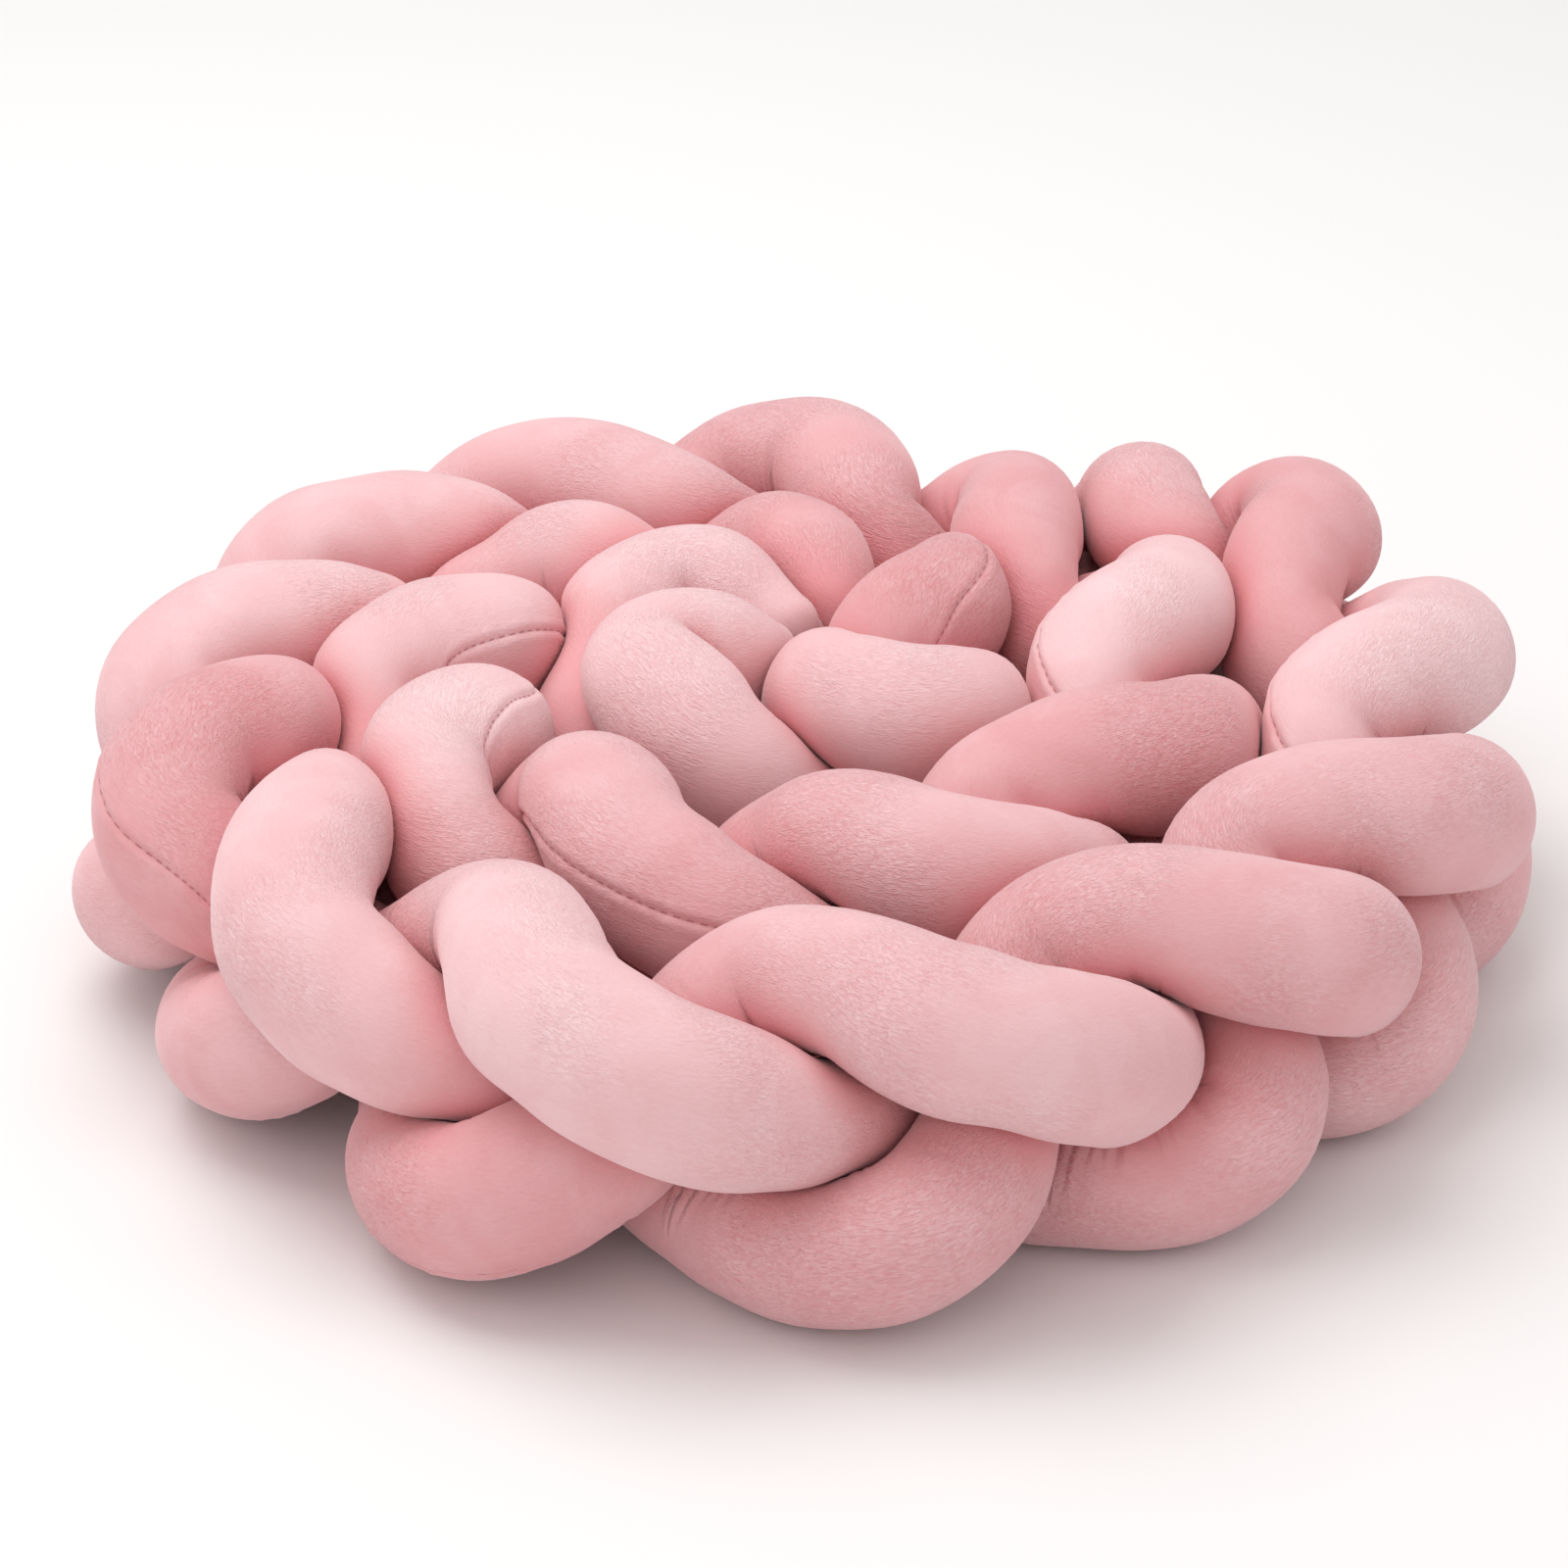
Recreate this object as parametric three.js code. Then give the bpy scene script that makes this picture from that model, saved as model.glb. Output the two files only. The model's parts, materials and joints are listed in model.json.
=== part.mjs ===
// Braided crib bumper: three stuffed velvet tubes plaited flat and rolled up on edge.
// Millimetres, +Z up, the coil rests on z = 0, the camera side is -Y.
import * as THREE from 'three';
import { mergeVertices } from 'three/addons/utils/BufferGeometryUtils.js';

const TUBE_DIA = 80;        // stuffed diameter of one tube
const HALF_RISE = 50;       // tube centre above and below the middle of the plait
const HALF_CROSS = 34;      // tube centre in front of and behind the middle
const MIDDLE_Z = 86;        // height of the middle of the plait
const SIDES = 16;           // facets round a tube
const RING_STEP = 25;       // spacing of the rings along a tube
const CLEARANCE = 0.5;      // left between the vertices of two tubes that press on each other
const FACET_CLEARANCE = 0.15; // left between their facets
const SEAM_DEPTH = 1.5;     // the lengthwise seam draws the cover in by this much
const END_RADIUS = 7;       // radius of the gathered opening at a tube's end
const COLOUR = 0xe9afb4;

const R = TUBE_DIA / 2;
// Places on a facet where its clearance is looked at: its centre and along its sides.
const FACET_SPOTS = [[1 / 3, 1 / 3, 1 / 3]];
[0.25, 0.5, 0.75].forEach((w) => FACET_SPOTS.push([w, 1 - w, 0], [0, w, 1 - w], [1 - w, 0, w]));


// One row per bight along the upper edge, from the inner end of the coil outwards.
// lift: whole plait raised; lean: upper edge tipped towards the middle of the coil, degrees;
// snug: share of HALF_CROSS left by the neighbouring turns; lead: lower edge shifted along.
const BIGHTS = [
  // x, y, lift, lean, snug, lead
  [-90, 140, 0, 0, 1.0, 0],
  [-60, 55, 5, 0, 1.0, 0],
  [35, 40, 0, 0, 0.9, 0],
  [65, 140, 0, 0, 0.8, 0],
  [5, 205, -5, 0, 0.9, 10],
  [-100, 205, -5, 0, 0.9, 10],
  [-170, 105, 0, 0, 0.9, 10],
  [-165, -5, 0, 0, 0.9, 20],
  [-85, -75, 0, 0, 0.8, 25],
  [40, -105, 0, 0, 0.8, 25],
  [140, -15, 0, 0, 0.9, 20],
  [170, 130, 0, 0, 0.9, 10],
  [110, 230, 0, 0, 1.0, 10],
  [25, 305, 0, 0, 1.0, 10],
  [-100, 290, 0, 0, 1.0, 10],
  [-195, 230, 0, 0, 1.0, 10],
  [-255, 125, 0, 5, 1.0, 0],
  [-265, 10, 0, 5, 1.0, -5],
  [-215, -95, 0, 0, 1.0, 15],
  [-115, -210, 0, 0, 1.0, 25],
  [35, -235, 0, 0, 1.0, 30],
  [165, -165, 0, -5, 1.0, 20],
  [245, -65, 0, -5, 1.0, 10],
  [280, 70, 0, 0, 1.0, 10],
  [250, 220, 0, 0, 1.0, 0],
  [175, 265, 0, 0, 1.0, 0],
  [105, 310, -25, 0, 0.8, 0],
];
const LAST = BIGHTS.length - 1;

// Where each tube starts at the middle of the coil, and the bight from which it is plaited.
const TUBES = [
  {
    name: 'strand_a', joins: 1.1,
    start: [[5, 135, 112], [-25, 165, 129], [-60, 173, 135], [-88, 150, 129],
      [-98, 112, 115], [-92, 75, 95]],
  },
  {
    name: 'strand_b', joins: 1.9,
    start: [[-5, 108, 112], [-30, 92, 132], [-55, 84, 140], [-68, 66, 143],
      [-58, 42, 139], [-36, 22, 122]],
  },
  {
    name: 'strand_c', joins: 1.9,
    start: [[-8, 100, 109], [10, 75, 129]],
  },
];

const rows = new THREE.CatmullRomCurve3(
  BIGHTS.map(([x, y, lift]) => new THREE.Vector3(x, y, MIDDLE_Z + lift)), false, 'catmullrom');
const manners = new THREE.CatmullRomCurve3(
  BIGHTS.map(([, , , lean, snug, lead]) => new THREE.Vector3(lean, snug, lead)),
  false, 'catmullrom');

// Centre of tube k where the plait has reached bight u.
function plaited(k, u) {
  const t = Math.min(u / LAST, 1);
  const middle = rows.getPoint(t);
  const [lean, snug, lead] = manners.getPoint(t).toArray();
  const along = rows.getTangent(t).setZ(0).normalize();
  const outward = new THREE.Vector3(along.y, -along.x, 0);
  const tip = THREE.MathUtils.degToRad(lean);
  const up = new THREE.Vector3(0, 0, Math.cos(tip)).addScaledVector(outward, -Math.sin(tip));
  const out = outward.multiplyScalar(Math.cos(tip)).add(new THREE.Vector3(0, 0, Math.sin(tip)));
  const turn = (2 * Math.PI * (u - k)) / 3;
  const gather = 1 - 0.5 * THREE.MathUtils.smoothstep(u, LAST - 1.2, LAST);
  return middle
    .addScaledVector(up, HALF_RISE * gather * Math.cos(turn))
    .addScaledVector(out, HALF_CROSS * snug * Math.sin(2 * turn))
    .addScaledVector(along, (lead * (1 - Math.cos(turn))) / 2);
}

// Centre line of tube k: its free start, then a point every quarter bight.
function centreLine(k) {
  const { start, joins } = TUBES[k];
  const points = start.map((p) => new THREE.Vector3(...p));
  for (let u = joins; u <= LAST - 0.1; u += 0.25) points.push(plaited(k, u));
  const line = new THREE.CatmullRomCurve3(points);
  line.arcLengthDivisions = 3000;
  return line;
}

const lines = TUBES.map((_, k) => centreLine(k));
const lengths = lines.map((line) => line.getLength());
const dots = lines.map((line, k) => line.getSpacedPoints(Math.round(lengths[k] / 4)));

// Every dot that can press on the ring round centre, at distance s along tube k.
// own: part of the same tube, no more than a bend away.
function surroundings(k, s, centre) {
  const around = [];
  dots.forEach((line, j) => {
    const pitch = lengths[j] / (line.length - 1);
    line.forEach((dot, i) => {
      if (dot.distanceTo(centre) > 2.7 * R) return;
      around.push({ dot, own: j === k && Math.abs(i * pitch - s) < 1.6 * TUBE_DIA });
    });
  });
  return around;
}

// Distances from p to its own centre line and to the nearest other one.
function distances(p, around) {
  let mine = Infinity;
  let other = Infinity;
  around.forEach(({ dot, own }) => {
    const gap = dot.distanceToSquared(p);
    if (own) mine = Math.min(mine, gap); else other = Math.min(other, gap);
  });
  return [Math.sqrt(mine), Math.sqrt(other)];
}

// True when a point rho away from its own centre line lies past the side of a neighbour,
// or past the inner side of its own tight bend.
function pressed(p, rho, around) {
  const [mine, other] = distances(p, around);
  return other < rho + CLEARANCE || mine < rho * 0.985 - 0.5;
}

// Cover radius at distance s along a tube of length total: a dome at either end.
function domed(s, total) {
  const fromEnd = Math.min(s, total - s);
  if (fromEnd >= R) return R;
  return Math.max(END_RADIUS, Math.sqrt(R * R - (R - fromEnd) ** 2));
}

// Distance along the tube of ring i: the rings crowd towards the ends, where the domes are.
function ringPlace(i, count, total) {
  const places = [0, 5, 15, 30, 50];
  const last = places.length - 1;
  if (i <= last) return places[i];
  if (count - i <= last) return total - places[count - i];
  return places[last] + ((total - 2 * places[last]) * (i - last)) / (count - 2 * last);
}

// The centre line again, spaced by ringPlace instead of evenly.
class RingLine extends THREE.Curve {
  constructor(line, count) {
    super();
    this.line = line;
    this.count = count;
    this.total = line.getLength();
  }

  share(t) {
    return ringPlace(Math.round(t * this.count), this.count, this.total) / this.total;
  }

  getPointAt(t, target) {
    return this.line.getPointAt(this.share(t), target);
  }

  getTangentAt(t, target) {
    return this.line.getTangentAt(this.share(t), target);
  }
}

// A stuffed tube: a thin extrusion along the centre line, each vertex then pushed outwards
// until it meets the full radius, a neighbour or the floor.
function stuffedTube(k) {
  const line = lines[k];
  const total = lengths[k];
  const count = Math.round(total / RING_STEP) + 4;
  const outline = new THREE.Shape();
  outline.absarc(0, 0, 1, 0, 2 * Math.PI, false);
  const thin = new THREE.ExtrudeGeometry(outline, {
    steps: count,
    curveSegments: SIDES / 2,
    bevelEnabled: false,
    extrudePath: new RingLine(line, count),
  });
  thin.deleteAttribute('uv');
  thin.deleteAttribute('normal');
  const geometry = mergeVertices(thin, 1e-3);
  const position = geometry.getAttribute('position');
  const rings = Array.from({ length: count + 1 }, (_, i) => {
    const s = ringPlace(i, count, total);
    const centre = line.getPointAt(s / total);
    return { s, centre, around: surroundings(k, s, centre), filled: 0 };
  });
  const verts = [];
  for (let v = 0; v < position.count; v += 1) {
    const at = new THREE.Vector3().fromBufferAttribute(position, v);
    const away = ({ centre }) => centre.distanceToSquared(at);
    const ring = rings.reduce((best, next) => (away(next) < away(best) ? next : best));
    const ray = at.clone().sub(ring.centre).normalize();
    let out = domed(ring.s, total);
    if (pressed(at.copy(ring.centre).addScaledVector(ray, out), out, ring.around)) {
      let low = 2;
      for (let n = 0; n < 10; n += 1) {
        const mid = (low + out) / 2;
        at.copy(ring.centre).addScaledVector(ray, mid);
        if (pressed(at, mid, ring.around)) out = mid; else low = mid;
      }
      out = low;
    }
    if (ring.filled === 0) out = Math.max(out - SEAM_DEPTH, 2);
    ring.filled += 1;
    verts.push({ ring, ray, out, at: at.copy(ring.centre).addScaledVector(ray, out) });
  }

  // The flat facets between the vertices keep to their own side as well.
  const faces = geometry.getIndex().array;
  const q = new THREE.Vector3();
  for (let pass = 0; pass < 40; pass += 1) {
    const drawn = new Set();
    for (let f = 0; f < faces.length; f += 3) {
      const [a, b, c] = [verts[faces[f]], verts[faces[f + 1]], verts[faces[f + 2]]];
      FACET_SPOTS.forEach(([wa, wb, wc]) => {
        q.set(0, 0, 0).addScaledVector(a.at, wa).addScaledVector(b.at, wb)
          .addScaledVector(c.at, wc);
        const [mine, other] = distances(q, a.ring.around);
        if (other < mine + FACET_CLEARANCE) [a, b, c].forEach((vert) => drawn.add(vert));
      });
    }
    drawn.forEach((vert) => {
      vert.out = Math.max(vert.out - 0.5, 2);
      vert.at.copy(vert.ring.centre).addScaledVector(vert.ray, vert.out);
    });
    if (drawn.size === 0) break;
  }
  verts.forEach(({ at }, v) => position.setXYZ(v, at.x, at.y, Math.max(at.z, 0)));
  geometry.computeVertexNormals();
  return geometry;
}

const velvet = new THREE.MeshStandardMaterial({ color: COLOUR, roughness: 0.9, metalness: 0 });
velvet.name = 'pink velvet';

const group = new THREE.Group();
group.name = 'braided_crib_bumper';
const meshes = TUBES.map(({ name }, k) => {
  const mesh = new THREE.Mesh(stuffedTube(k), velvet);
  mesh.name = name;
  group.add(mesh);
  return mesh;
});

// The origin is the middle of the footprint.
const box = new THREE.Box3();
meshes.forEach((mesh) => box.expandByObject(mesh));
const centre = box.getCenter(new THREE.Vector3());
meshes.forEach((mesh) => mesh.geometry.translate(-centre.x, -centre.y, 0));

export default group;
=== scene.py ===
# %% [markdown]
# # A braided crib bumper
# The real object is three long velvet tubes, each cut as one strip, sewn shut along one
# lengthwise seam and stuffed. They are plaited flat like hair, and the plait is rolled up on
# its edge into a coil that lies on the floor. This lesson makes the three tubes, presses them
# against each other, sews their seams, and gives them a short, soft pile.

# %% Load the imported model
import json
import math

import bpy
import numpy as np
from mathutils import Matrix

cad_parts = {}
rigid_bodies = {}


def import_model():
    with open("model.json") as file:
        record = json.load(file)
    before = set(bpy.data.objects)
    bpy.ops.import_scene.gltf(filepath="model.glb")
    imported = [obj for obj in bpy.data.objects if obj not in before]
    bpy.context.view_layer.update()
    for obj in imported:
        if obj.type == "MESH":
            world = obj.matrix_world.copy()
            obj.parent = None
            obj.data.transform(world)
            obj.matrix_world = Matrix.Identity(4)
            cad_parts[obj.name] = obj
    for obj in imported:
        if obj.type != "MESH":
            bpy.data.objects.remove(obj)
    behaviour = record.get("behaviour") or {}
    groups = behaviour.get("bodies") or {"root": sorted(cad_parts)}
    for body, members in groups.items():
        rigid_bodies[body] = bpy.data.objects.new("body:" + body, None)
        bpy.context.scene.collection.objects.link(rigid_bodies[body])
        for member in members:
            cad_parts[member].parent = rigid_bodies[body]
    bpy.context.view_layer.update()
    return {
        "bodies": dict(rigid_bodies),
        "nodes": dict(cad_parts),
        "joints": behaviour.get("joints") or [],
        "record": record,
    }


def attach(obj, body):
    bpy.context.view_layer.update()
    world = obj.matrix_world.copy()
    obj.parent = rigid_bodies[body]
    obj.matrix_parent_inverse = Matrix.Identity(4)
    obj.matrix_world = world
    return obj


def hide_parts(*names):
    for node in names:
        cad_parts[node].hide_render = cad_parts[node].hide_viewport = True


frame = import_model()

bpy.ops.object.select_all(action="DESELECT")

# %% [markdown]
# ## The camera
# The photograph was taken with a long lens from in front and a little above. The same view
# needs how high the camera looks from, how far away it stands, how many pixels of the square
# picture show one metre at the middle of the coil, and by how many the picture is shifted.

# %% Place the camera
MM = 0.001
VIEW_HEIGHT = math.radians(28)
VIEW_DISTANCE = 2400 * MM
PIXELS_PER_METRE = 2200
PICTURE = 1600
SENSOR = 36
SHIFT_RIGHT = -13
SHIFT_UP = 60
AIM_HEIGHT = 91.0
COIL_MIDDLE = np.array([5.2, 36.6, 0.0])
aim = (np.array([0, 0, AIM_HEIGHT]) - COIL_MIDDLE) * MM

camera_data = bpy.data.cameras.new("photo_camera")
camera_data.sensor_width = SENSOR
camera_data.lens = SENSOR * PIXELS_PER_METRE * VIEW_DISTANCE / PICTURE
camera_data.shift_x = SHIFT_RIGHT / PICTURE
camera_data.shift_y = SHIFT_UP / PICTURE
camera_data.clip_end = 50
camera = bpy.data.objects.new("photo_camera", camera_data)
bpy.context.scene.collection.objects.link(camera)
towards_camera = np.array([0, -math.cos(VIEW_HEIGHT), math.sin(VIEW_HEIGHT)])
camera.location = aim + VIEW_DISTANCE * towards_camera
camera.rotation_euler = (math.radians(90) - VIEW_HEIGHT, 0, 0)
bpy.context.scene.camera = camera
print("lens", round(camera_data.lens, 1), "mm")

# %% [markdown]
# ## The path of the plait
# In a flat plait of three, each tube swings up and down once while it swings in and out
# twice. The swings are laid along a spiral. Each row below gives the place of one bight on
# the coil's upper edge, from the inner end outwards, in millimetres. lift raises the plait,
# lean tips its upper edge inwards in degrees, snug narrows its swing in and out, and lead
# shifts its lower edge along.

# %% Bights of the plait
TUBE_RADIUS = 40.0
HALF_RISE = 50.0
HALF_CROSS = 34.0
MIDDLE_Z = 86.0
OUTER_TAPER = 1.2
PLAIT_STEP = 0.25
START_STEP = 0.3
POINTS_A_STRETCH = 60

BIGHTS = np.array([
    # x, y, lift, lean, snug, lead
    (-90, 140, 0, 0, 1.0, 0),
    (-60, 55, 5, 0, 1.0, 0),
    (35, 40, 0, 0, 0.9, 0),
    (65, 140, 0, 0, 0.8, 0),
    (5, 205, -5, 0, 0.9, 10),
    (-100, 205, -5, 0, 0.9, 10),
    (-170, 105, 0, 0, 0.9, 10),
    (-165, -5, 0, 0, 0.9, 20),
    (-85, -75, 0, 0, 0.8, 25),
    (40, -105, 0, 0, 0.8, 25),
    (140, -15, 0, 0, 0.9, 20),
    (170, 130, 0, 0, 0.9, 10),
    (110, 230, 0, 0, 1.0, 10),
    (25, 305, 0, 0, 1.0, 10),
    (-100, 290, 0, 0, 1.0, 10),
    (-195, 230, 0, 0, 1.0, 10),
    (-255, 125, 0, 5, 1.0, 0),
    (-265, 10, 0, 5, 1.0, -5),
    (-215, -95, 0, 0, 1.0, 15),
    (-115, -210, 0, 0, 1.0, 25),
    (35, -235, 0, 0, 1.0, 30),
    (165, -165, 0, -5, 1.0, 20),
    (245, -65, 0, -5, 1.0, 10),
    (280, 70, 0, 0, 1.0, 10),
    (250, 220, 0, 0, 1.0, 0),
    (175, 265, 0, 0, 1.0, 0),
    (105, 310, -25, 0, 0.8, 0),
], float)
LAST = len(BIGHTS) - 1

TUBES = {
    "strand_a": {
        "joins": 1.1,
        "start": [(5, 135, 112), (-25, 165, 129), (-60, 173, 135), (-88, 150, 129),
                  (-98, 112, 115), (-92, 75, 95)],
    },
    "strand_b": {
        "joins": 1.9,
        "start": [(-5, 108, 112), (-30, 92, 132), (-55, 84, 140), (-68, 66, 143),
                  (-58, 42, 139), (-36, 22, 122)],
    },
    "strand_c": {
        "joins": 1.9,
        "start": [(-8, 100, 109), (10, 75, 129)],
    },
}


def row_at(u):
    """The row of BIGHTS at bight u, rounded off between the rows."""
    rows = np.vstack([2 * BIGHTS[0] - BIGHTS[1], BIGHTS, 2 * BIGHTS[-1] - BIGHTS[-2]])
    u = np.clip(u, 0, LAST)
    k = np.minimum(u.astype(int), LAST - 1)
    w = (u - k)[:, None]
    a, b, c, d = rows[k], rows[k + 1], rows[k + 2], rows[k + 3]
    return b + 0.5 * w * (c - a + w * (2 * a - 5 * b + 4 * c - d + w * (3 * (b - c) + d - a)))


def plaited(k, u):
    """Centre of tube k where the plait has reached bight u."""
    row = row_at(u)
    along = row_at(np.minimum(u + 0.003, LAST))[:, :2] - row_at(np.maximum(u - 0.003, 0))[:, :2]
    along = np.c_[along / np.linalg.norm(along, axis=1)[:, None], np.zeros(len(u))]
    outward = np.c_[along[:, 1], -along[:, 0], np.zeros(len(u))]
    tip = np.radians(row[:, 3:4])
    z = np.array([[0.0, 0.0, 1.0]])
    up = np.cos(tip) * z - np.sin(tip) * outward
    out = np.cos(tip) * outward + np.sin(tip) * z
    turn = (2 * np.pi * (u - k) / 3)[:, None]
    fade = np.clip((u - LAST + OUTER_TAPER) / OUTER_TAPER, 0, 1)[:, None]
    gather = 1 - 0.5 * fade * fade * (3 - 2 * fade)
    middle = np.c_[row[:, :2], MIDDLE_Z + row[:, 2]]
    return (middle + up * HALF_RISE * gather * np.cos(turn)
            + out * HALF_CROSS * row[:, 4:5] * np.sin(2 * turn)
            + along * row[:, 5:6] * (1 - np.cos(turn)) / 2)


def smooth_line(points):
    """A dense curve through the points, and the distance along it."""
    p = np.vstack([2 * points[0] - points[1], points, 2 * points[-1] - points[-2]])
    a, b, c, d = p[:-3], p[1:-2], p[2:-1], p[3:]
    ta, tb, tc = (np.linalg.norm(q, axis=1)[:, None] ** 0.5 for q in (b - a, c - b, d - c))
    m1 = ((b - a) / ta - (c - a) / (ta + tb) + (c - b) / tb) * tb
    m2 = ((c - b) / tb - (d - b) / (tb + tc) + (d - c) / tc) * tb
    w = (np.arange(POINTS_A_STRETCH) / POINTS_A_STRETCH)[None, :, None]
    b, c, m1, m2 = b[:, None], c[:, None], m1[:, None], m2[:, None]
    q = b + m1 * w + (-3 * b + 3 * c - 2 * m1 - m2) * w ** 2 + (2 * b - 2 * c + m1 + m2) * w ** 3
    q = np.vstack([q.reshape(-1, 3), points[-1:]])
    s = np.r_[0, np.cumsum(np.linalg.norm(np.diff(q, axis=0), axis=1))]
    return q, s


def along_line(line, s):
    """Points at distances s along a line from smooth_line."""
    q, total = line
    return np.stack([np.interp(s, total, q[:, i]) for i in range(3)], -1)


lines = {}
bight_of = {}
for k, (name, tube) in enumerate(TUBES.items()):
    u = np.arange(tube["joins"], LAST - 0.1 + 1e-9, PLAIT_STEP)
    points = np.vstack([np.array(tube["start"], float), plaited(k, u)]) - COIL_MIDDLE
    lines[name] = smooth_line(points)
    lead = tube["joins"] - START_STEP * np.arange(len(tube["start"]), 0, -1)
    bight_of[name] = (lines[name][1][::POINTS_A_STRETCH], np.r_[lead, u])
    print(name, "is", round(lines[name][1][-1] / 1000, 2), "m long")

# %% [markdown]
# ## How the tubes press on each other
# Where two stuffed tubes are plaited tightly, each gives way by the same amount, so the
# wall between them lies half-way between their centre lines. From a centre point, the
# distance to that wall along any ray follows from the nearest points of the other centre
# lines. The wall meets the free round side in a soft shoulder, not a sharp corner.

# %% Find the room that each tube has
DOT_STEP = 4.0
SKIN_GAP = 0.5
SHOULDER = 4.0
NEAR_BEND = 1.6 * 2 * TUBE_RADIUS
WITHIN_REACH = 3.4 * TUBE_RADIUS
TOO_CLOSE = 9
NO_WALL = 1e3
RINGS_AT_ONCE = 16

dots = {name: np.arange(0, line[1][-1], DOT_STEP) for name, line in lines.items()}
dot_points = {name: along_line(lines[name], s) for name, s in dots.items()}


def soft_least(a, b, blend):
    """The smaller of two lengths, rounded off where they are nearly equal."""
    least = np.minimum(a, b)
    return least - blend * np.log1p(np.exp(-np.abs(a - b) / blend))


def room(name, s, centre, rays):
    """How far each ray can go from its ring's centre before it meets another tube."""
    reach = np.full(rays.shape[:2], NO_WALL)
    for i in range(0, len(s), RINGS_AT_ONCE):
        rings = slice(i, i + RINGS_AT_ONCE)
        c, ray, here = centre[rings], rays[rings], s[rings]
        for other, points in dot_points.items():
            close = np.linalg.norm(points - c.mean(axis=0), axis=1) < WITHIN_REACH
            away = points[close][None] - c[:, None]
            square = (away ** 2).sum(axis=2)[:, None]
            ahead = np.einsum("rmk,rqk->rmq", ray, away)
            gap = np.full(ahead.shape, SKIN_GAP)
            valid = np.ones(ahead.shape, bool)
            if other == name:
                apart = np.abs(dots[other][close][None] - here[:, None])[:, None]
                gap = np.where(apart < NEAR_BEND, 0.0, gap)
                valid = valid & (apart > TOO_CLOSE)
            valid &= ahead + gap > 1e-6
            below = np.where(valid, 2 * (gap + ahead), 1)
            limit = np.where(valid, (square - gap ** 2) / below, NO_WALL)
            if limit.size:
                reach[rings] = np.minimum(reach[rings], limit.min(axis=2))
    return reach


# %% [markdown]
# ## Cut, roll and sew
# A velvet tube starts as a long flat strip. A grid plays that strip: its length follows the
# tube's centre line and its width is rolled once round it. The two long edges meet at the
# seam and are merged, and each end is drawn together to a gathered point, as a maker closes
# a stuffed tube by hand. The seam's place round the tube changes slowly: where the photo
# shows it, the table says at which angle from the top, positive away from the coil's middle.

# %% Where the seam runs
SEAM_ANGLES = {
    # bight number, angle in degrees
    "strand_a": [(0, 180), (2.5, 90), (3, 45), (3.5, -30), (5.5, -30), (6, -60),
                 (6.5, -120), (8, -180)],
    "strand_b": [(4, -180), (5.5, -90), (6.5, -30), (7, -45), (7.5, -120), (9, -180)],
    "strand_c": [(6, 150), (7.5, 90), (8.5, 60), (9, 60), (10, 0), (11, -60), (12, -180),
                 (15.5, -210), (16.5, -300), (17.5, -300), (18.5, -240), (20, -180),
                 (21.5, -90), (22.5, -30), (23, -60), (23.5, -120), (24.5, -180)],
}
SIDES = 36
RING_STEP = 7.0
SEAM_CROWDING = 0.65
FULLER = 1.8
CIRCUMFERENCE = 2 * math.pi * TUBE_RADIUS


def ring_places(total):
    """Distances of the rings along the tube, closer together on the domed ends."""
    dome = TUBE_RADIUS * (1 - np.cos(np.linspace(0, np.pi / 2, 9)))
    count = round((total - 2 * TUBE_RADIUS) / RING_STEP)
    middle = np.linspace(TUBE_RADIUS, total - TUBE_RADIUS, count + 1)
    return np.r_[dome[:-1], middle, total - dome[-2::-1]]


def ring_frames(name, s):
    """Centre of each ring, and its upward and outward directions."""
    centre = along_line(lines[name], s)
    ahead = along_line(lines[name], np.minimum(s + 3, lines[name][1][-1]))
    behind = along_line(lines[name], np.maximum(s - 3, 0))
    tangent = ahead - behind
    tangent /= np.linalg.norm(tangent, axis=1)[:, None]
    up = np.array([0, 0, 1.0]) - tangent * tangent[:, 2:]
    up /= np.linalg.norm(up, axis=1)[:, None]
    return centre, up, np.cross(tangent, up), tangent


def by_bight(rows, name, s):
    """The value that rows of bight and value give at distances s, smoothed between the rows."""
    places, bights = bight_of[name]
    table = np.array(rows, float)
    fine = np.arange(0, lines[name][1][-1] + 10, 10.0)
    value = np.interp(np.interp(fine, places, bights), table[:, 0], table[:, 1])
    kernel = np.hanning(9) / np.hanning(9).sum()
    value = np.convolve(np.pad(value, 4, mode="edge"), kernel, mode="valid")
    return np.interp(s, fine, value)


def softened(rho):
    """The same lengths averaged with their neighbours along and round the tube."""
    weights = np.array([0.1, 0.24, 0.32, 0.24, 0.1])
    along = sum(w * np.pad(rho, ((2, 2), (0, 0)), mode="edge")[i:i + len(rho)]
                for i, w in enumerate(weights))
    round_it = np.c_[along[:, -3:-1], along, along[:, 1:3]]
    return sum(w * round_it[:, i:i + rho.shape[1]] for i, w in enumerate(weights))


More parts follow.
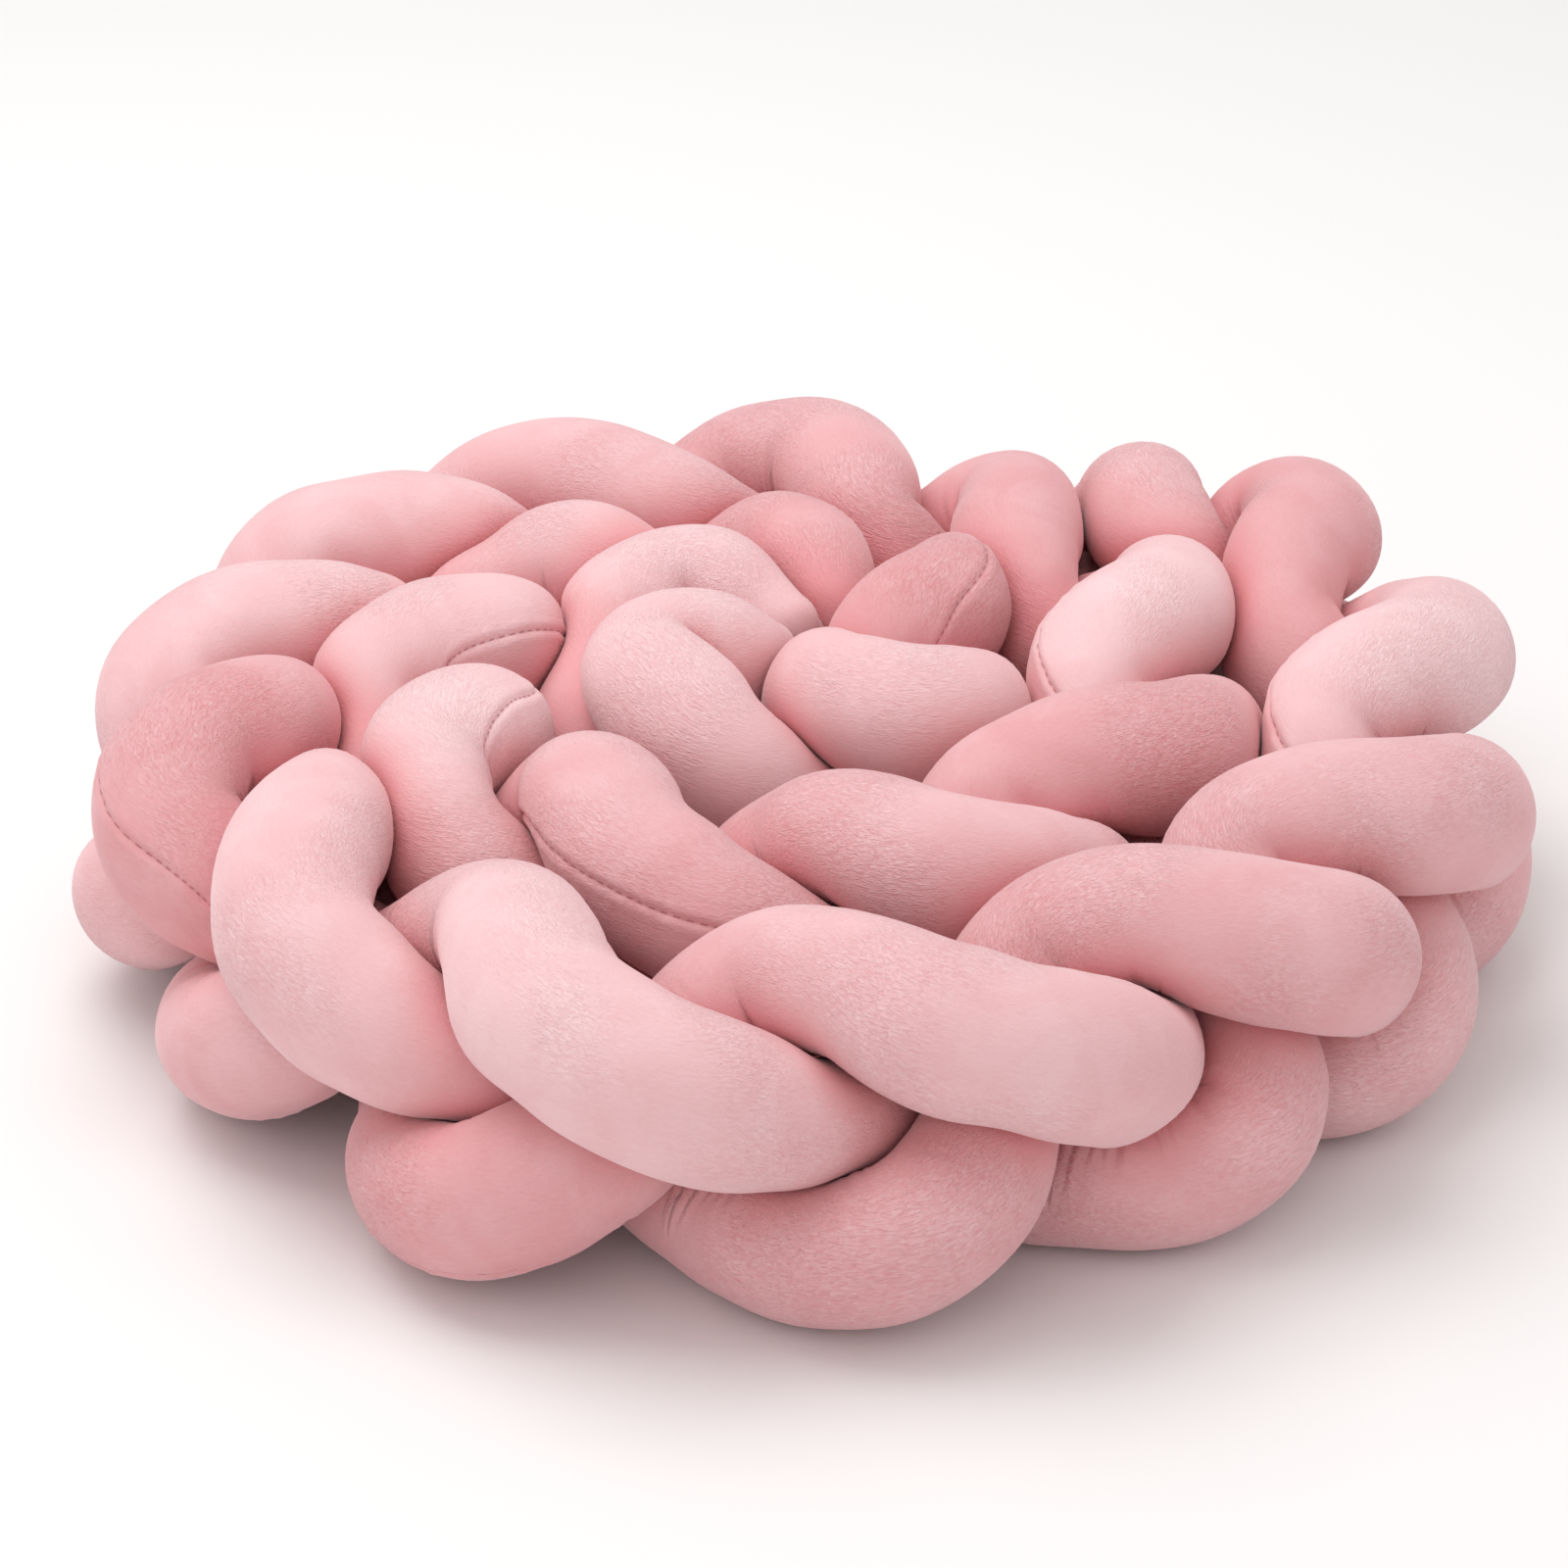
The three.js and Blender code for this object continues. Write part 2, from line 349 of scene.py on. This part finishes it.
def tube_surface(name, s, turns, radius):
    """Points of a stuffed tube: ring i at s[i], column j at turns[j] of the way round."""
    centre, up, out, _ = ring_frames(name, s)
    angle = np.radians(by_bight(SEAM_ANGLES[name], name, s))[:, None] + 2 * np.pi * turns[None]
    rays = np.cos(angle)[..., None] * up[:, None] + np.sin(angle)[..., None] * out[:, None]
    total = lines[name][1][-1]
    from_end = np.clip(np.minimum(s, total - s), 0, radius)
    dome = np.sqrt(np.maximum(radius ** 2 - (radius - from_end) ** 2, 0))[:, None]
    rho = soft_least(np.minimum(room(name, s, centre, rays), 200), dome + 0 * angle, SHOULDER)
    rho = np.where(dome < 1e-6, 0, np.maximum(rho, 0.2 * dome))
    floor = np.where(rays[..., 2] < -0.05, centre[:, 2:] / np.maximum(-rays[..., 2], 0.05), 1e3)
    rho = np.minimum(rho, soft_least(floor, rho + 3, 1.0))
    rho = np.where(dome > 0.9 * radius, np.minimum(rho, softened(softened(rho))), rho)
    return centre[:, None] + rays * rho[..., None]


def sewn_tube(name):
    """A strip of velvet rolled round the centre line of a tube and sewn shut."""
    s = ring_places(lines[name][1][-1])
    even = np.arange(SIDES + 1) / SIDES
    turns = even - SEAM_CROWDING * np.sin(2 * np.pi * even) / (2 * np.pi)
    points = tube_surface(name, s, turns, TUBE_RADIUS + FULLER)
    bpy.ops.mesh.primitive_grid_add(x_subdivisions=len(s) - 1, y_subdivisions=SIDES, size=1)
    tube = bpy.context.object
    tube.name = name + "_velvet"
    mesh = tube.data
    mesh.name = tube.name
    order = points.transpose(1, 0, 2).reshape(-1, 3) * MM
    mesh.vertices.foreach_set("co", order.ravel())
    along, across = np.meshgrid(s * MM, turns * CIRCUMFERENCE * MM)
    corner = np.empty(len(mesh.loops), int)
    mesh.loops.foreach_get("vertex_index", corner)
    uv = np.stack([along.ravel(), across.ravel()], -1)[corner]
    mesh.uv_layers.active.uv.foreach_set("vector", uv.ravel())
    bpy.ops.object.mode_set(mode="EDIT")
    bpy.ops.mesh.select_all(action="SELECT")
    bpy.ops.mesh.remove_doubles(threshold=0.00001)
    bpy.ops.mesh.normals_make_consistent(inside=False)
    bpy.ops.object.mode_set(mode="OBJECT")
    bpy.ops.object.shade_smooth()
    print(tube.name, len(mesh.vertices), "points")
    return tube


def select_only(thing):
    """Makes one object the selected and active one."""
    bpy.ops.object.select_all(action="DESELECT")
    thing.select_set(True)
    bpy.context.view_layer.objects.active = thing


tubes = {name: sewn_tube(name) for name in TUBES}

# %% [markdown]
# ## Stuff the tubes
# The filling is blown in, so the cover swells until it is taut. A cloth simulation does the
# same: each strip starts a little slack, air pressure fills it, and the places where
# another tube presses on it are held still. No point may move more than a few millimetres.

# %% Swell each tube with the cloth simulation
SLACK = 3.0
MOST_SWELL = 5.0 * MM
PRESSURE = 4.0
FRAMES = 20
FREE_FROM = TUBE_RADIUS - 9
FREE_OVER = 6
GIVE = 0.8 * MM


def points_of(mesh):
    """All points of a mesh as an array."""
    co = np.empty(3 * len(mesh.vertices))
    mesh.vertices.foreach_get("co", co)
    return co.reshape(-1, 3)


def strip_places(mesh):
    """Every point's distance along the tube and round from the seam, in millimetres."""
    corner = np.empty(len(mesh.loops), int)
    mesh.loops.foreach_get("vertex_index", corner)
    uv = np.empty(2 * len(mesh.loops))
    mesh.uv_layers.active.uv.foreach_get("vector", uv)
    place = np.zeros((len(mesh.vertices), 2))
    place[corner] = uv.reshape(-1, 2) / MM
    s, round_it = place.T
    return s, np.where(round_it > CIRCUMFERENCE / 2, round_it - CIRCUMFERENCE, round_it)


def swell(name, tube):
    """Fills a slack tube with air; what presses on a neighbour stays where it is."""
    taut = points_of(tube.data)
    s, _ = strip_places(tube.data)
    middle = along_line(lines[name], s) * MM
    ray = taut - middle
    length = np.linalg.norm(ray, axis=1)
    free = np.clip((length / MM - FREE_FROM) / FREE_OVER, 0, 1)
    slack = taut - ray * (free * SLACK * MM / np.maximum(length, 1e-4))[:, None]
    tube.data.vertices.foreach_set("co", slack.ravel())
    held = tube.vertex_groups.new(name="held")
    for weight in np.linspace(0.1, 1, 10):
        held.add(np.flatnonzero(np.abs(1 - free - weight) < 0.05).tolist(), weight, "REPLACE")
    select_only(tube)
    cloth = tube.modifiers.new("stuffing", "CLOTH")
    cloth.settings.quality = 3
    cloth.settings.use_pressure = True
    cloth.settings.uniform_pressure_force = PRESSURE
    cloth.settings.effector_weights.gravity = 0
    cloth.settings.vertex_group_mass = held.name
    cloth.collision_settings.use_collision = False
    for frame in range(1, FRAMES + 1):
        bpy.context.scene.frame_set(frame)
    bpy.ops.object.modifier_apply(modifier=cloth.name)
    tube.vertex_groups.clear()
    bpy.context.scene.frame_set(1)
    move = points_of(tube.data) - slack
    far = np.linalg.norm(move, axis=1)
    move *= np.minimum(1, MOST_SWELL / np.maximum(far, 1e-9))[:, None]
    filled = slack + move
    ray = filled - middle
    reach = np.maximum(np.linalg.norm(ray, axis=1), 1e-9)
    filled = middle + ray * np.minimum(1, (length + GIVE * free) / reach)[:, None]
    filled[:, 2] = np.maximum(filled[:, 2], 0)
    tube.data.vertices.foreach_set("co", filled.ravel())
    print(name, "swells by", round(far.mean() / MM, 2), "mm, at most", round(far.max() / MM, 2))


for name, tube in tubes.items():
    swell(name, tube)

# %% One subdivision
for tube in tubes.values():
    select_only(tube)
    finer = tube.modifiers.new("finer", "SUBSURF")
    finer.levels = finer.render_levels = 1
    finer.uv_smooth = "NONE"
    bpy.ops.object.modifier_apply(modifier="finer")
    print(tube.name, len(tube.data.polygons), "faces")

# %% [markdown]
# ## Seam, gathers and lumps
# The seam is sewn from the inside, so it draws the cover into a narrow furrow with two soft
# lips and small puckers. Velvet that is bent sharply has too much length on the inside of
# the bend and gathers there. Each end is pulled shut in pleats, and the filling is never
# quite even. All four are small moves of the surface along its own direction.

# %% Raise and lower the surface
SEAM_DEPTH = 1.1
SEAM_WIDTH = 1.4
LIP_HEIGHT = 0.4
LIP_PLACE = 4.6
LIP_WIDTH = 2.6
PUCKER_HEIGHT = 0.45
PUCKER_REACH = 8
GATHER_DEPTH = 1.6
GATHER_SPACING = 14.0
LUMP_HEIGHT = 0.8
PLEATS = 15
PLEAT_DEPTH = 0.9


def waves(x, length, seed):
    """An uneven wave between about -1 and 1 whose bumps are roughly one length apart."""
    chance = np.random.RandomState(seed)
    total = np.zeros_like(x)
    for stretch in (0.72, 0.87, 1.0, 1.19, 1.43):
        total += np.sin(2 * np.pi * (x / (length * stretch) + chance.rand()))
    return total / 2.6


def step_up(x, low, high):
    """0 below low, 1 above high, smooth between."""
    t = np.clip((x - low) / (high - low), 0, 1)
    return t * t * (3 - 2 * t)


def inside_of_bend(name, s, points):
    """How much the tube's bend shortens the cover there, as a share; upward bends count most."""
    line = lines[name]
    fine = np.arange(0, line[1][-1], 5.0)
    tangent = np.gradient(along_line(line, fine), 5.0, axis=0)
    bend = np.gradient(tangent, 5.0, axis=0)
    ray = points / MM - along_line(line, s)
    bend_here = np.stack([np.interp(s, fine, bend[:, i]) for i in range(3)], -1)
    shorter = bend_here * ray
    return 0.6 * shorter[:, 0] + 0.6 * shorter[:, 1] + 2.6 * shorter[:, 2]


def relief(name, s, across, points, seed):
    """Height of the surface over the smooth tube, in millimetres."""
    total = lines[name][1][-1]
    turn = across / TUBE_RADIUS
    from_end = np.minimum(s, total - s)
    body = step_up(from_end, 8, 30)
    furrow = -SEAM_DEPTH * np.exp(-(across / SEAM_WIDTH) ** 2)
    lips = LIP_HEIGHT * np.exp(-((np.abs(across) - LIP_PLACE) / LIP_WIDTH) ** 2)
    pucker = PUCKER_HEIGHT * np.exp(-(across / PUCKER_REACH) ** 2)
    pucker = pucker * waves(s + 0.4 * across, 9, seed)
    height = (furrow * (1 + 0.3 * waves(s, 23, seed + 1)) + lips + pucker) * body
    bent = step_up(inside_of_bend(name, s, points), 0.15, 0.5)
    wander = s + 5 * waves(across, 60, seed + 2) + 3 * waves(s, 70, seed + 3)
    fold = np.abs(waves(wander, 2 * GATHER_SPACING, seed + 4))
    strong = np.clip(0.55 + 0.6 * waves(s, 130, seed + 5), 0.1, 1)
    height -= GATHER_DEPTH * bent * strong * (1 - fold) ** 2 * body
    lumps = (waves(s, 85, seed + 6) * np.cos(turn + s / 210)
             + 0.7 * waves(s, 47, seed + 7) * np.cos(2 * turn - s / 160))
    height += LUMP_HEIGHT * lumps * body
    gathered = 1 - step_up(from_end, 6, 32)
    height -= PLEAT_DEPTH * gathered * (0.5 - 0.5 * np.cos(PLEATS * turn + waves(s, 30, seed + 8)))
    return height


def shape_surface(name, tube, seed):
    """Moves every point along its normal by the relief."""
    mesh = tube.data
    s, across = strip_places(mesh)
    points = points_of(mesh)
    normal = np.empty(3 * len(mesh.vertices))
    mesh.vertices.foreach_get("normal", normal)
    height = relief(name, s, across, points, seed) * MM
    points += normal.reshape(-1, 3) * height[:, None]
    points[:, 2] = np.maximum(points[:, 2], 0)
    from_end = np.minimum(s, lines[name][1][-1] - s)
    gathers = step_up(inside_of_bend(name, s, points), 0.05, 0.35) * step_up(from_end, 60, 120)
    gathers *= np.clip(0.7 + 0.7 * waves(s + 0.5 * across, 90, seed + 9), 0, 1)
    mesh.attributes.new("gathers", "FLOAT", "POINT").data.foreach_set("value", gathers)
    # Painted crease shade: a mask that is 1 where a neighbour squeezes the tube, for the deeper,
    # saturated pink painted into the creases.
    reach = np.linalg.norm(points / MM - along_line(lines[name], s), axis=1)
    painted_crease_shade = (1 - step_up(reach, TUBE_RADIUS - 11, TUBE_RADIUS - 2)) * step_up(from_end, 30, 60)
    mesh.attributes.new("painted_crease_shade", "FLOAT", "POINT").data.foreach_set("value", painted_crease_shade)
    mesh.vertices.foreach_set("co", points.ravel())
    mesh.update()
    print(name, "relief from", round(height.min() / MM, 2), "to", round(height.max() / MM, 2), "mm")


for seed, (name, tube) in enumerate(tubes.items()):
    shape_surface(name, tube, 100 * seed + 7)

# %% [markdown]
# ## Velvet
# Short pile looks light where it leans away from the eye and deep where it leans towards
# it. Handling has brushed each bight one way or the other, so every tube carries a slow
# change of tone, as the photo shows it: 1 is brushed light, -1 is brushed deep.

# %% How the pile was brushed
BRUSHED = {
    # bight number, tone
    "strand_a": [(0, 0.8), (1.5, 0.4), (3, -0.9), (4.5, 0), (6, 0.7), (7.5, 0), (9, -0.1),
                 (10.5, 0), (12, -0.6), (13.5, 0), (15, 0.4), (16.5, -0.2), (18, 0.7),
                 (19.5, -0.5), (21, -0.3), (22.5, 0), (24, -0.8), (26, -0.3)],
    "strand_b": [(0, 0.6), (1, 0.9), (2.5, 0.1), (4, -0.6), (5.5, 0), (7, 0.9), (8.5, 0),
                 (10, -0.5), (11.5, 0), (13, -0.4), (14.5, 0), (16, 0.7), (17.5, -0.5),
                 (19, 0.8), (20.5, -0.4), (22, -0.1), (23.5, 0), (25, 0), (26, 0)],
    "strand_c": [(0, 0.2), (2, 0.5), (3.5, 0), (5, 0.2), (6.5, 0), (8, -0.3), (9.5, 0.2),
                 (11, 1), (12.5, 0.2), (14, 0), (15.5, 0), (17, -0.8), (18.5, -1.1),
                 (20, 0.3), (21.5, 0), (23, 0.9), (24.5, 0.2), (26, 0)],
}


def brush(name, tube):
    """Keeps the tone of the pile on the tube's points."""
    s, _ = strip_places(tube.data)
    layer = tube.data.attributes.new("tone", "FLOAT", "POINT")
    layer.data.foreach_set("value", by_bight(BRUSHED[name], name, s))


for name, tube in tubes.items():
    brush(name, tube)

# %% Colours and nodes
DEEP_PILE = "#D38E92"
LIGHT_PILE = "#F0CFD1"
# Painted crease shade: the deeper, saturated pink of the creases between tubes.
PAINTED_CREASE_SHADE = "#E38F92"
# Partly painted shade: the darker red of the stitch dashes, also laid thinly along the whole seam
# as the shade in its furrow.
STITCHES_AND_FURROW_SHADE = "#A4585E"
SHEEN = "#F0DADC"
PAPER = "#EEECEB"


def linear(hex_colour):
    """An sRGB hex colour as linear red, green, blue and alpha."""
    parts = [int(hex_colour[i:i + 2], 16) / 255 for i in (1, 3, 5)]
    return [p / 12.92 if p <= 0.04045 else ((p + 0.055) / 1.055) ** 2.4 for p in parts] + [1]


def add_node(tree, kind, inputs=None, **settings):
    """Adds a node; an input is a socket to link or a value to set."""
    node = tree.nodes.new(kind)
    for key, value in settings.items():
        setattr(node, key, value)
    for key, value in (inputs or {}).items():
        if isinstance(value, bpy.types.NodeSocket):
            tree.links.new(value, node.inputs[key])
        else:
            node.inputs[key].default_value = value
    return node


def blend_colour(tree, share, first, second):
    """A colour between two others."""
    node = add_node(tree, "ShaderNodeMix", data_type="RGBA")
    inputs = node.inputs
    for socket, value in ((inputs[0], share), (inputs[6], first), (inputs[7], second)):
        if isinstance(value, bpy.types.NodeSocket):
            tree.links.new(value, socket)
        else:
            socket.default_value = value
    return node.outputs[2]


# %% [markdown]
# ## The velvet material
# The deep and the light colour are mixed by the brushed tone and by soft cloudy patches.
# The pile itself shows as fine short streaks that run slantwise over the strip; the real
# hairs are far finer than a pixel, so the streaks are drawn about 1.3 mm wide. Both use
# the strip's own lengths, in metres, so they keep their size round every bend. A sheen
# lightens the edges that are seen at a flat angle, as pile does.

# %% Velvet
SEAM_LINE = 0.2 * MM
SEAM_FADE = 0.9 * MM
STITCH_PITCH = 3.6 * MM
STITCH_LENGTH = 1.9 * MM
FOLD_DEPTH = 3.5 * MM
CRUSH_DEPTH = 1.4 * MM

velvet = bpy.data.materials.new("polyester_velvet")
velvet.use_nodes = True
tree = velvet.node_tree
shader = tree.nodes["Principled BSDF"]
place = add_node(tree, "ShaderNodeTexCoord").outputs
tone = add_node(tree, "ShaderNodeAttribute", attribute_name="tone").outputs["Fac"]


def noise(scales, vector, detail=2.0, distortion=0.0, turn=0.0):
    """Noise whose grain is 1 / scale metres long in each direction."""
    vector = add_node(tree, "ShaderNodeMapping", {"Vector": vector, "Rotation": (0, 0, turn),
                                                  "Scale": scales}).outputs[0]
    return add_node(tree, "ShaderNodeTexNoise", {"Vector": vector, "Scale": 1.0, "Detail": detail,
                                                 "Distortion": distortion}).outputs["Fac"]


def math_node(operation, *values, clamp=False):
    """The result of a sum on sockets or numbers."""
    return add_node(tree, "ShaderNodeMath", dict(enumerate(values)), operation=operation,
                    use_clamp=clamp).outputs[0]


def ramp(value, low, high, to_low=0.0, to_high=1.0):
    """A smooth change from one value to another while the input goes from low to high."""
    return add_node(tree, "ShaderNodeMapRange", {"Value": value, "From Min": low, "From Max": high,
                                                 "To Min": to_low, "To Max": to_high},
                    interpolation_type="SMOOTHSTEP").outputs[0]


cloud = noise((15, 15, 15), place["Object"], 2.0, 0.6)
smear = ramp(noise((26, 26, 26), place["Object"], 3.0, 1.2), 0.44, 0.58)
crush = noise((400, 740, 1), place["UV"], 2.0, 1.2, 0.5)
crushed = ramp(noise((11, 11, 11), place["Object"], 1.0), 0.4, 0.6, 0.25, 1.0)
lightness = math_node("MULTIPLY_ADD", tone, 0.33, 0.18)
lightness = math_node("MULTIPLY_ADD", cloud, 0.5, lightness)
lightness = math_node("MULTIPLY_ADD", smear, 0.06, lightness)
grain = math_node("MULTIPLY", math_node("SUBTRACT", crush, 0.5), crushed)
lightness = math_node("MULTIPLY_ADD", grain, 1.0, lightness, clamp=True)
pile = blend_colour(tree, lightness, linear(DEEP_PILE), linear(LIGHT_PILE))

# Painted crease shade: next to the walls where tubes press together, the pile colour is mixed
# towards a deeper, saturated pink for the shade in the crease.
painted_crease_shade = add_node(tree, "ShaderNodeAttribute", attribute_name="painted_crease_shade").outputs["Fac"]
pile = blend_colour(tree, math_node("MULTIPLY", painted_crease_shade, 0.6), pile, linear(PAINTED_CREASE_SHADE))

across = add_node(tree, "ShaderNodeSeparateXYZ", {"Vector": place["UV"]}).outputs
# Partly painted shade: the whole seam line is darkened a little as the shade in its furrow, and the
# stitch dashes on it more.
from_seam = math_node("PINGPONG", across["Y"], CIRCUMFERENCE / 2 * MM)
near_seam = ramp(from_seam, SEAM_LINE, SEAM_FADE, 1.0, 0.0)
stitches_and_furrow_shade = math_node("MODULO", across["X"], STITCH_PITCH)
stitches_and_furrow_shade = math_node("LESS_THAN", stitches_and_furrow_shade, STITCH_LENGTH)
stitches_and_furrow_shade = math_node("MULTIPLY", math_node("MULTIPLY_ADD", stitches_and_furrow_shade, 0.5, 0.15), near_seam)
colour = blend_colour(tree, stitches_and_furrow_shade, pile, linear(STITCHES_AND_FURROW_SHADE))
tree.links.new(colour, shader.inputs["Base Color"])

gathers = add_node(tree, "ShaderNodeAttribute", attribute_name="gathers").outputs["Fac"]
fold = math_node("SUBTRACT", noise((75, 13, 1), place["UV"], 1.0, 0.3), 0.5)
fold = math_node("ABSOLUTE", fold)
fold = math_node("MULTIPLY", ramp(fold, 0.0, 0.17), gathers)
folds = add_node(tree, "ShaderNodeBump", {"Height": fold, "Strength": 0.6,
                                          "Distance": FOLD_DEPTH})
bump = add_node(tree, "ShaderNodeBump", {"Height": math_node("MULTIPLY", crush, crushed),
                                         "Strength": 0.7, "Distance": CRUSH_DEPTH,
                                         "Normal": folds.outputs[0]})
tree.links.new(bump.outputs[0], shader.inputs["Normal"])
shader.inputs["Roughness"].default_value = 0.95
shader.inputs["Specular IOR Level"].default_value = 0.15
shader.inputs["Sheen Weight"].default_value = 0.55
shader.inputs["Sheen Roughness"].default_value = 0.4
shader.inputs["Sheen Tint"].default_value = linear(SHEEN)
for tube in tubes.values():
    tube.data.materials.clear()
    tube.data.materials.append(velvet)
print("velvet has", len(tree.nodes), "nodes")

# %% [markdown]
# ## Floor and light
# The photograph is bright and nearly without shadow: white paper below, a large soft light
# overhead and a little to the left, and light from all sides. The plain view transform
# keeps the whites white.

# %% Floor and light
bpy.ops.mesh.primitive_plane_add(size=12)
floor = bpy.context.object
floor.name = "floor"
paper = bpy.data.materials.new("matt_white_paper")
paper.use_nodes = True
matt = paper.node_tree.nodes["Principled BSDF"].inputs
matt["Base Color"].default_value = linear(PAPER)
matt["Roughness"].default_value = 0.9
floor.data.materials.append(paper)
bpy.context.scene.view_settings.view_transform = "Standard"


def softbox(name, place, size, power):
    """A square light at a place, turned to face the coil."""
    data = bpy.data.lights.new(name, "AREA")
    data.shape = "SQUARE"
    data.size = size
    data.energy = power
    light = bpy.data.objects.new(name, data)
    bpy.context.scene.collection.objects.link(light)
    light.location = place
    away = np.array(place, float)
    light.rotation_euler = (math.acos(away[2] / np.linalg.norm(away)), 0,
                            math.atan2(away[0], -away[1]))
    return light


softbox("overhead", (-0.6, 0.3, 2.2), 1.8, 29)
softbox("front", (-0.6, -2.4, 1.2), 1.6, 5)
world = bpy.data.worlds.new("studio")
bpy.context.scene.world = world
world.use_nodes = True
backdrop = world.node_tree.nodes["Background"].inputs
backdrop["Color"].default_value = linear("#FFFFFF")
backdrop["Strength"].default_value = 0.79

# %% Hand over
for name, tube in tubes.items():
    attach(tube, "root")
    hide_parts(name)
